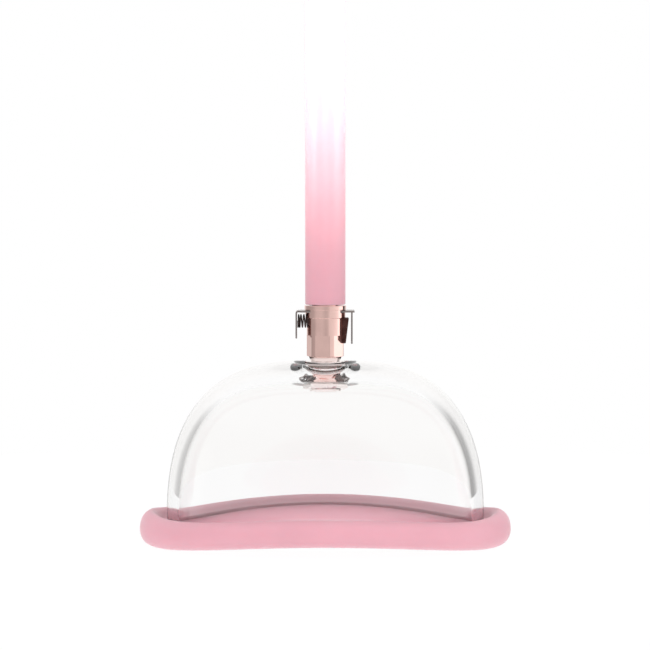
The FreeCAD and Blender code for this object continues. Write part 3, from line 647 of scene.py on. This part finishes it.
def hose_route():
    """The hose's centre line: a taut straight run from the coupling to the pump's connector."""
    base, top = low("hose").z * MM, high("hose").z * MM
    points = [(0, 0, base + (top - base) * number / 3) for number in range(4)]
    curve = bpy.data.curves.new("hose_route", "CURVE")
    curve.dimensions = "3D"
    spline = curve.splines.new("NURBS")
    spline.points.add(len(points) - 1)
    for point, place in zip(spline.points, points):
        point.co = (*place, 1)
    spline.order_u = 3
    spline.use_endpoint_u = True
    spline.resolution_u = 12
    route = placed("hose_route", curve)
    graph = bpy.context.evaluated_depsgraph_get()
    mesh = bpy.data.meshes.new_from_object(route.evaluated_get(graph), depsgraph=graph)
    path = [vertex.co.copy() for vertex in mesh.vertices]
    bpy.data.objects.remove(route)
    return path


def hose_tube(path, outer, inner):
    """A hollow tube along the path, with its cut ends a little rounded."""
    total = len(path)

    def station(point, ahead, radius):
        across = Vector((0, 1, 0)).cross(ahead).normalized()
        up = ahead.cross(across).normalized()
        return [
            (point / MM) + (across * math.cos(angle) + up * math.sin(angle)) * radius
            for angle in around(HOSE_COLUMNS)
        ]

    def direction(number):
        return (path[min(number + 1, total - 1)] - path[max(number - 1, 0)]).normalized()

    def face(radius, into):
        """One face of the wall; the stations at its cut ends are drawn into the wall."""
        rounds = ((0.25, 0.0), (0.08, 0.09), (0.0, 0.27))
        first, last = direction(0), direction(total - 1)
        start = [(path[0] + first * on * MM, first, radius + into * back) for back, on in rounds]
        end = [(path[-1] - last * on * MM, last, radius + into * back) for back, on in rounds[::-1]]
        middle = [(path[number], direction(number), radius) for number in range(1, total - 1)]
        return start + middle + end

    line = face(outer, -1) + face(inner, 1)[::-1]
    return mesh_piece("hose_tube", *closed_grid([station(*place) for place in line]))


def barbed(base, pitch=3.4, inner=3.5, outer=3.8):
    """Corners of three hose barbs, from the shoulder down to the tip."""
    corners = []
    for number in range(3):
        start = base - pitch * number
        corners += [(inner, start - pitch * 0.35), (outer, start - pitch * 0.4), (inner, start - pitch)]
    return corners


def make_connector():
    """The turned fitting at the pump's end of the hose."""
    shoulder = high("hose").z
    top = high("pump_connector").z
    collar_top = shoulder + 4.0
    seal = (low("connector_seal").z + high("connector_seal").z) / 2
    groove = top - 2.2
    row = barbed(shoulder)
    outline = [(1.2, row[-1][1])] + row[::-1] + [
        (3.5, shoulder), (6.3, shoulder), (6.3, shoulder + 1.3), (6.0, shoulder + 1.6),
        (6.0, shoulder + 2.4), (6.3, shoulder + 2.7), (6.3, collar_top), (3.15, collar_top),
        (3.15, seal - 0.65), (2.15, seal - 0.65), (2.15, seal + 0.65), (3.15, seal + 0.65),
        (3.15, groove - 0.4), (2.35, groove - 0.4), (2.35, groove + 0.4), (3.15, groove + 0.4),
        (3.15, top - 0.5), (2.65, top), (1.2, top),
    ]
    return lathe("connector_body", soften(outline))


def round_seal(name, node):
    """An O-ring of the hose, the size of its node."""
    start, end = low(node), high(node)
    radius = (end.z - start.z) / 2
    piece = lathe(name, ring((end.x - radius, (end.z + start.z) / 2), radius, 20))
    return finished(piece, "hose_end", node, seal_rubber())


class CUP_OT_hose(bpy.types.Operator):
    """Make the hose, the fitting on its far end and the plug in its near end"""

    bl_idname = "suction_cup.hose"
    bl_label = "Hose"

    def execute(self, context):
        path = hose_route()
        outer = high("hose").x
        tube = hose_tube(path, outer, 3.5)
        finished(tube, "hose_end", "hose", pink_silicone())
        connector = finished(make_connector(), "hose_end", "pump_connector", rose_gold())
        seal = round_seal("connector_o_ring", "connector_seal")
        round_seal("plug_o_ring", "plug_seal")
        dress("hose_plug", rose_gold())
        return {"FINISHED"}


# ---- bell


def saddle(bell, x):
    """Lift of the mouth at x, in millimetres."""
    half = bell.half_length / MM - 2.3
    share = 1 - (x / half) ** 2
    return bell.rise / MM * share ** 1.2 if share > 0 else 0.0


class BellShape:
    """One face of the bell's wall: a superellipse turned about Z and narrowed along Y."""

    def __init__(self, bell, wall, crown_wall):
        self.long = bell.half_length / MM - wall
        self.wide = bell.half_width / MM - wall
        self.base = bell.shoulder / MM
        self.rise = bell.crown / MM - crown_wall - self.base
        self.side, self.top = bell.side_power, bell.crown_power

    def side_point(self, turn, angle):
        """A point on the curved side; turn runs from 0 at the shoulder to 1 at the crown."""
        reach = math.cos(turn * math.pi / 2) ** (2 / self.side)
        height = self.base + self.rise * math.sin(turn * math.pi / 2) ** (2 / self.top)
        return (self.long * reach * math.cos(angle), self.wide * reach * math.sin(angle), height)

    def height(self, x, y):
        """Height of the face above a place near the crown."""
        share = math.hypot(x / self.long, y / self.wide) ** self.side
        return self.base + self.rise * max(1 - share, 0) ** (1 / self.top)

    def cap_row(self, share, oval, circle, angles, lower=None):
        """A row that passes from an oval of the side to a circle about the stem."""
        row = []
        for angle in angles:
            wide = oval * self.wide / self.long
            x = (oval + (circle - oval) * share) * math.cos(angle)
            y = (wide + (circle - wide) * share) * math.sin(angle)
            height = self.height(x, y)
            row.append((x, y, lower(x, y, height) if lower else height))
        return row


def smooth_step(value):
    value = min(max(value, 0.0), 1.0)
    return value * value * (3 - 2 * value)


def bell_rows(bell):
    """Rows of points up the outside, through the stem's hole and down the inside."""
    angles = around(BELL_COLUMNS)
    outside = BellShape(bell, 0, 0)
    inside = BellShape(bell, bell.wall / MM, bell.crown_wall / MM)
    edge = bell.edge / MM
    floor = low("crown_seal").z
    seat = high("nut_washer").z
    dish = bell.dish / MM
    dish_floor = dish - 4.0
    hole, seat_radius = 5.1, 7.8
    cap = 0.86
    steps = BELL_ROWS

    def dished(x, y, height):
        away = math.hypot(x, y)
        return height + (floor - height) * smooth_step((dish + 0.6 - away) / (dish + 0.6 - dish_floor))

    def skirt(face, share):
        row = []
        for angle in angles:
            x, y = face.long * math.cos(angle), face.wide * math.sin(angle)
            bottom = edge + saddle(bell, x)
            row.append((x, y, bottom + (face.base - bottom) * share))
        return row

    def side(face, number):
        return [face.side_point(cap * number / steps, angle) for angle in angles]

    def circle(radius, height):
        return [(radius * math.cos(angle), radius * math.sin(angle), height) for angle in angles]

    rows = [skirt(outside, share) for share in (0.0, 0.05, 0.3, 0.6, 0.9)]
    rows += [side(outside, number) for number in range(steps + 1)]
    oval = outside.long * math.cos(cap * math.pi / 2) ** (2 / outside.side)
    rows += [outside.cap_row(n / 9, oval, dish + 1.0, angles, dished) for n in range(1, 10)]
    rows += [
        outside.cap_row(1, oval, dish + 1.0 - (dish + 1.0 - dish_floor) * n / 10, angles, dished)
        for n in range(1, 11)
    ]
    rows += [circle(radius, floor) for radius in (6.4, hole + 0.3, hole + 0.12)]
    rows += [circle(hole, floor - 0.12), circle(hole, floor - 0.3)]
    rows += [circle(hole, seat + 0.3), circle(hole, seat + 0.12), circle(hole + 0.12, seat)]
    rows += [circle(6.4, seat), circle(seat_radius - 0.1, seat), circle(seat_radius, seat - 0.04)]
    oval = inside.long * math.cos(cap * math.pi / 2) ** (2 / inside.side)
    rows += [inside.cap_row(n / 8, oval, seat_radius, angles) for n in range(8, 0, -1)]
    rows += [side(inside, number) for number in range(steps, -1, -1)]
    rows += [skirt(inside, share) for share in (0.9, 0.6, 0.3, 0.05, 0.0)]
    return rows


class CUP_OT_bell(bpy.types.Operator):
    """Make the clear bell with its dished crown"""

    bl_idname = "suction_cup.bell"
    bl_label = "Bell"

    def execute(self, context):
        piece = mesh_piece("bell", *closed_grid(bell_rows(context.scene.cup_bell)), sharp=50)
        finished(piece, "cup", "cup_dome", clear_acrylic())
        return {"FINISHED"}


# ---- flange


def through(points, steps=5):
    """A smooth open line through the points."""
    points = [Vector(point) for point in points]
    line = []
    for number in range(len(points) - 1):
        before = points[max(number - 1, 0)]
        start, end = points[number], points[number + 1]
        after = points[min(number + 2, len(points) - 1)]
        for step in range(steps):
            t = step / steps
            line.append(0.5 * (
                2 * start + (end - before) * t + (2 * before - 5 * start + 4 * end - after) * t * t
                + (3 * start - before - 3 * end + after) * t * t * t
            ))
    return line + [points[-1]]


def flange_section(bell):
    """The flange's section, from the bell's outer wall and from its own underside."""
    wall = bell.wall / MM
    edge = bell.edge / MM
    play = 0.04
    outer = through([
        (2.4, 0.0), (4.3, 0.06), (7.2, 1.2), (8.7, 4.2), (7.9, 7.2), (5.3, 8.75), (3.2, 8.1),
        (1.9, 6.9), (1.15, 6.3), (0.5, 6.45),
    ])
    slot = [
        (play, 6.75), (play, 6.55), (play, 5.0), (play, edge + 0.05), (play, edge - play),
        (play - 0.1, edge - play), (-wall - play + 0.1, edge - play), (-wall - play, edge - play),
        (-wall - play, edge + 0.05), (-wall - play, 4.6), (-wall - play, 5.7), (-wall - 0.12, 5.95),
    ]
    inner = through([
        (-wall - 0.5, 6.1), (-wall - 1.2, 5.6), (-wall - 1.55, 4.6), (-wall - 1.3, 3.2),
        (-wall - 0.3, 1.8), (-2.2, 0.6), (0.4, 0.05), (2.3, 0.0),
    ])
    line = outer + [Vector(point) for point in slot] + inner
    return [Vector((point[0], max(point[1], 0.0))) for point in line]


class CUP_OT_flange(bpy.types.Operator):
    """Make the silicone flange that is stretched over the bell's edge"""

    bl_idname = "suction_cup.flange"
    bl_label = "Flange"

    def execute(self, context):
        bell = context.scene.cup_bell
        long, wide = bell.half_length / MM, bell.half_width / MM
        edge, crest = bell.edge / MM, bell.crest / MM
        end_lift = bell.end_crest / MM - crest
        section = flange_section(bell)
        columns = []
        for angle in around(FLANGE_COLUMNS):
            x, y = long * math.cos(angle), wide * math.sin(angle)
            outward = Vector((wide * math.cos(angle), long * math.sin(angle), 0)).normalized()
            base = Vector((x, y, saddle(bell, x)))
            lift = end_lift * abs(math.cos(angle)) ** 8
            columns.append([
                base + outward * place.x
                + Vector((0, 0, place.y + lift * max(place.y - edge, 0) / (crest - edge)))
                for place in section
            ])
        piece = mesh_piece("flange", *closed_grid(columns), sharp=60)
        finished(piece, "cup", "silicone_flange", pink_silicone())
        return {"FINISHED"}


# ---- springs


def spring_tree():
    """Geometry Nodes for a compression spring along Z with a closed turn at each end."""
    tree = bpy.data.node_groups.new("spring", "GeometryNodeTree")
    new, link = tree.nodes.new, tree.links.new
    face = tree.interface
    inputs = {}
    for name, kind in (("Radius", "Float"), ("Wire", "Float"), ("Length", "Float"), ("Turns", "Float")):
        inputs[name] = face.new_socket(name, in_out="INPUT", socket_type="NodeSocket" + kind).identifier
    inputs["Material"] = face.new_socket(
        "Material", in_out="INPUT", socket_type="NodeSocketMaterial").identifier
    face.new_socket("Geometry", in_out="OUTPUT", socket_type="NodeSocketGeometry")
    start = new("NodeGroupInput")
    end = new("NodeGroupOutput")

    line = new("GeometryNodeCurvePrimitiveLine")
    resample = new("GeometryNodeResampleCurve")
    resample.inputs["Count"].default_value = 260
    link(line.outputs["Curve"], resample.inputs["Curve"])
    along = new("GeometryNodeSplineParameter").outputs["Factor"]

    def calc(operation, first, second=None):
        return math_node(tree, operation, first, second)

    half_wire = calc("MULTIPLY", start.outputs["Wire"], 0.5)
    turned = calc("MULTIPLY", calc("MULTIPLY", along, start.outputs["Turns"]), 2 * math.pi)
    reach = calc("SUBTRACT", start.outputs["Radius"], half_wire)
    # The first and the last turn lie nearly flat; the pitch opens between them.
    free = new("ShaderNodeMapRange")
    free.interpolation_type = "SMOOTHSTEP"
    sockets(free, {"From Min": 0.06, "From Max": 0.94})
    link(along, free.inputs["Value"])
    climbed = calc("ADD", calc("MULTIPLY", free.outputs["Result"], 0.62), calc("MULTIPLY", along, 0.38))
    climb = calc("SUBTRACT", start.outputs["Length"], start.outputs["Wire"])
    place = new("ShaderNodeCombineXYZ")
    link(calc("MULTIPLY", calc("COSINE", turned), reach), place.inputs["X"])
    link(calc("MULTIPLY", calc("SINE", turned), reach), place.inputs["Y"])
    link(calc("ADD", calc("MULTIPLY", climbed, climb), half_wire), place.inputs["Z"])
    move = new("GeometryNodeSetPosition")
    link(resample.outputs["Curve"], move.inputs["Geometry"])
    link(place.outputs[0], move.inputs["Position"])
    wire = new("GeometryNodeCurvePrimitiveCircle")
    wire.inputs["Resolution"].default_value = 14
    link(half_wire, wire.inputs["Radius"])
    sweep = new("GeometryNodeCurveToMesh")
    sweep.inputs["Fill Caps"].default_value = True
    link(move.outputs["Geometry"], sweep.inputs["Curve"])
    link(wire.outputs["Curve"], sweep.inputs["Profile Curve"])
    real = new("GeometryNodeRealizeInstances")
    link(sweep.outputs["Mesh"], real.inputs["Geometry"])
    paint = new("GeometryNodeSetMaterial")
    link(real.outputs["Geometry"], paint.inputs["Geometry"])
    link(start.outputs["Material"], paint.inputs["Material"])
    link(paint.outputs["Geometry"], end.inputs["Geometry"])
    return tree, inputs


def coil(name, tree, inputs, radius, wire, long, turns, place):
    """Run the spring nodes and keep the result; place turns a point of the coil into the frame."""
    piece = placed(name, bpy.data.meshes.new(name))
    step = piece.modifiers.new("spring", "NODES")
    step.node_group = tree
    for key, value in (("Radius", radius), ("Wire", wire), ("Length", long)):
        step[inputs[key]] = float(value * MM)
    step[inputs["Turns"]] = float(turns)
    step[inputs["Material"]] = spring_wire()
    bake(piece)
    for vertex in piece.data.vertices:
        vertex.co = place(vertex.co)
    turn_outwards(piece.data)
    piece.data.shade_smooth()
    piece.data.set_sharp_from_angle(angle=math.radians(60))
    return piece


class CUP_OT_springs(bpy.types.Operator):
    """Make the latch spring and the valve spring"""

    bl_idname = "suction_cup.springs"
    bl_label = "Springs"

    def execute(self, context):
        tree, inputs = spring_tree()
        start, end = low("latch_spring"), high("latch_spring")
        level = (start.z + end.z) / 2 * MM
        latch = coil(
            "latch_coil", tree, inputs, (end.z - start.z) / 2, 0.45, end.x - start.x, 5.0,
            lambda point: Vector((end.x * MM - point.z, point.x, level + point.y)),
        )
        finished(latch, "cup", "latch_spring", spring_wire())
        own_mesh(latch)
        start, end = low("valve_spring"), high("valve_spring")
        base = start.z * MM
        valve = coil(
            "valve_coil", tree, inputs, end.x, 0.4, end.z - start.z, 7.0,
            lambda point: Vector((point.x, point.y, base + point.z)),
        )
        finished(valve, "cup", "valve_spring", spring_wire())
        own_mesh(valve)
        return {"FINISHED"}


# ---- coupling


def make_body(coupling):
    """The turned body: threaded stem, neck, barrel with wrench flats, collar, latch slot and spring
    pocket.
    """
    stem, barrel = coupling.stem / MM, coupling.barrel / MM
    collar, rim = coupling.collar / MM, coupling.rim / MM
    flat, turn = coupling.flats / MM, coupling.turns
    pitch, depth = coupling.pitch / MM, coupling.thread / MM
    base, top = low("coupling_body").z, high("coupling_body").z
    seal_top = high("crown_seal").z
    neck_base, barrel_base = seal_top + 0.8, seal_top + 2.4
    flats_top = barrel_base + 6.8
    collar_base, rim_base = top - 4.0, top - 1.3
    seat = top - 11.2

    outline = soften([(3.3, base), (stem, base), (stem, base + 0.4)])[:-5]
    # Ten heights to each turn of the thread.
    start, end = base + 0.4, seal_top - 0.4
    count = int((end - start) / pitch * 10)
    outline += [Vector((stem, start + (end - start) * n / count)) for n in range(count + 1)]
    upper = soften([
        (stem, seal_top - 0.4), (stem, seal_top), (6.3, seal_top), (6.3, neck_base), (4.7, neck_base),
        (5.4, barrel_base), (barrel, barrel_base), (barrel, flats_top), (barrel + 0.001, flats_top),
        (barrel, collar_base), (collar, collar_base), (collar, rim_base), (rim, rim_base), (rim, top),
        (4.2, top), (4.2, top - 0.9), (3.2, top - 0.9), (3.2, seat), (1.8, seat), (1.8, seat - 0.8),
        (3.3, seat - 0.8), (3.3, base + 0.4),
    ])
    outline += upper[6:]

    def radius_at(reach, height, angle):
        if reach > stem - 0.01 and base + 0.3 < height < seal_top - 0.3:
            phase = (height / pitch - angle / (2 * math.pi)) % 1
            rising = smooth_step((height - base - 0.4) / 0.5)
            fade = rising * smooth_step((seal_top - 0.5 - height) / 0.6)
            return stem - depth * fade * min(abs(phase - 0.5) * 2.6, 1.0)
        if reach > 5.2 and barrel_base - 0.01 < height < flats_top:
            return hexagonal(reach, flat, turn, angle)
        return reach

    body = lathe("coupling_turned", outline, flat_angles(barrel, flat, turn), radius_at)
    level = (high("latch_plate").z * 2 - coupling.sheet / MM) / 2
    half_gap = coupling.sheet / MM / 2 + 0.15
    half_width = high("latch_plate").y + 0.15
    slot = block("slot_tool", (-9, -half_width, level - half_gap), (9, half_width, level + half_gap))
    spring_level = (low("latch_spring").z + high("latch_spring").z) / 2
    pocket = rod("pocket_tool", ring((0, spring_level), 2.5), -9, high("latch_spring").x + 0.05, "X")
    return combine(body, [("DIFFERENCE", slot), ("DIFFERENCE", pocket)])


def make_lug():
    """The wedge on the barrel that stops the latch's outer leg, its edges rounded."""
    collar_base = high("coupling_body").z - 4.0
    wedge = [(5.3, collar_base), (5.3, collar_base - 8.2), (6.6, collar_base - 8.2), (7.6, collar_base)]
    return combine(rod("stop_lug", wedge, -2.5, 2.5, "Y"), [], edge=0.3)


def make_nut(coupling):
    """The thin lock nut, with its lower corners turned off."""
    flat, turn, bore = coupling.nut / MM, coupling.turns, coupling.stem / MM
    corner = flat / math.cos(math.radians(30))
    base, top = low("lock_nut").z, high("lock_nut").z
    outline = soften(
        [(bore, base), (flat - 0.1, base), (corner, base + 0.5), (corner, top), (bore, top)], 0.1)
    return lathe(
        "nut_turned", outline, flat_angles(corner, flat, turn),
        lambda reach, height, angle: hexagonal(reach, flat, turn, angle), sharp=25,
    )


def flat_ring(name, node, bore, rounding):
    """A flat ring the size of its node."""
    start, end = low(node), high(node)
    outline = soften([(bore, start.z), (end.x, start.z), (end.x, end.z), (bore, end.z)], rounding)
    return lathe(name, outline)


def strip(name, line, thickness, widths):
    """A bent strip of sheet; line runs along the middle of the sheet in the XZ plane."""
    rows = []
    for number, (x, z) in enumerate(line):
        before = line[max(number - 1, 0)]
        after = line[min(number + 1, len(line) - 1)]
        ahead = (Vector(after) - Vector(before)).normalized()
        side = Vector((-ahead.y, ahead.x)) * thickness / 2
        half = widths[number]
        rows.append([
            (x + side.x, -half, z + side.y), (x + side.x, half, z + side.y),
            (x - side.x, half, z - side.y), (x - side.x, -half, z - side.y),
        ])
    points = [point for row in rows for point in row]
    faces = []
    last = (len(rows) - 1) * 4
    for base in range(0, last, 4):
        for corner in range(4):
            beside = (corner + 1) % 4
            faces.append((base + corner, base + beside, base + 4 + beside, base + 4 + corner))
    faces += [(0, 1, 2, 3), (last, last + 1, last + 2, last + 3)]
    return mesh_piece(name, points, faces)


def rounded_tip(line, width, start):
    """Half widths that draw the strip in to a rounded tip at its first points."""
    return [width - 0.9 * (1 - min(abs(z - start) / 1.2, 1.0)) ** 2 for _, z in line]


def make_latch(coupling):
    """The thumb latch: a plate through the collar, a thumb leg, a stop leg and a window for the plug."""
    thick = coupling.sheet / MM
    start, end = low("latch_plate"), high("latch_plate")
    level = end.z - thick / 2
    left = start.x + thick / 2
    bend = 0.9 - thick / 2
    thumb_low = level - thick / 2 - 8.5
    plate_half, leg_half = end.y, 3.0
    thumb = [(left, thumb_low + (level - bend - thumb_low) * n / 8) for n in range(9)]
    arc = [
        (left + bend - bend * math.cos(a), level - bend + bend * math.sin(a))
        for a in (math.pi / 2 * n / 6 for n in range(1, 7))
    ]
    plate = [(left + bend + 0.6, level), (-7.2, level), (end.x, level)]
    line = thumb + arc + plate
    widths = rounded_tip(thumb, leg_half, thumb_low) + [leg_half] * len(arc)
    widths += [plate_half - 0.5, plate_half, plate_half]
    piece = strip("latch_sheet", line, thick, widths)
    leg_x = end.x - 0.6 - thick / 2
    leg = [(leg_x, start.z + (level - start.z) * n / 10) for n in range(11)]
    stop = strip("stop_tool", leg, thick, rounded_tip(leg, leg_half, start.z))
    play, shank, bite = 3.3, 3.15, 0.7
    right_edge, left_edge = shank - bite, -(play + LATCH_TRAVEL)
    window = []
    for middle, first in ((right_edge - play, -math.pi / 2), (left_edge + play, math.pi / 2)):
        for number in range(65):
            angle = first + math.pi * number / 64
            window.append((middle + play * math.cos(angle), play * math.sin(angle)))
    hole = rod("window_tool", window, level - 1, level + 1, "Z")
    return combine(piece, [("UNION", stop), ("DIFFERENCE", hole)], edge=0.07)


class CUP_OT_coupling(bpy.types.Operator):
    """Make the coupling's body, nut, washers and latch, and finish the valve inside it"""

    bl_idname = "suction_cup.coupling"
    bl_label = "Coupling"

    def execute(self, context):
        coupling = context.scene.cup_coupling
        bore = coupling.stem / MM
        finished(make_body(coupling), "cup", "coupling_body", rose_gold())
        lug = make_lug()
        # The stop lug's dark colour is painted shade.
        lug.data.materials.append(painted_shade_metal())
        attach(lug, "cup")
        finished(make_nut(coupling), "cup", "lock_nut", rose_gold())
        gasket = flat_ring("crown_gasket", "crown_seal", bore + 0.02, 0.15)
        finished(gasket, "cup", "crown_seal", pale_silicone())
        washer = flat_ring("nut_ring", "nut_washer", bore + 0.02, 0.1)
        finished(washer, "cup", "nut_washer", nylon())
        finished(make_latch(coupling), "latch", "latch_plate", latch_metal())
        dress("valve_retainer", rose_gold())
        dress("valve_poppet", nylon())
        dress("valve_seal", seal_rubber())
        return {"FINISHED"}


# ---- panel and running


class CUP_PT_panel(bpy.types.Panel):
    """The suction cup's sizes, finishes and steps"""

    bl_idname = "CUP_PT_panel"
    bl_label = "Suction Cup"
    bl_space_type = "VIEW_3D"
    bl_region_type = "UI"
    bl_category = "Suction Cup"

    def draw(self, context):
        for group, _ in SETTINGS:
            settings = getattr(context.scene, group)
            box = self.layout.box()
            for name in settings.__annotations__:
                box.prop(settings, name)
        for step in STEPS:
            self.layout.operator(step.bl_idname)


SETTINGS = (
    ("cup_bell", BellSettings), ("cup_coupling", CouplingSettings), ("cup_finish", FinishSettings),
)
STEPS = (CUP_OT_stage, CUP_OT_hose, CUP_OT_bell, CUP_OT_flange, CUP_OT_springs, CUP_OT_coupling)


def register():
    for name, group in SETTINGS:
        bpy.utils.register_class(group)
        setattr(bpy.types.Scene, name, bpy.props.PointerProperty(type=group))
    for step in STEPS:
        bpy.utils.register_class(step)
    bpy.utils.register_class(CUP_PT_panel)


def unregister():
    bpy.utils.unregister_class(CUP_PT_panel)
    for step in reversed(STEPS):
        bpy.utils.unregister_class(step)
    for name, group in reversed(SETTINGS):
        delattr(bpy.types.Scene, name)
        bpy.utils.unregister_class(group)


def main():
    register()
    bpy.ops.suction_cup.stage()
    bpy.ops.suction_cup.hose()
    bpy.ops.suction_cup.bell()
    bpy.ops.suction_cup.flange()
    bpy.ops.suction_cup.springs()
    bpy.ops.suction_cup.coupling()


if __name__ == "__main__":
    main()
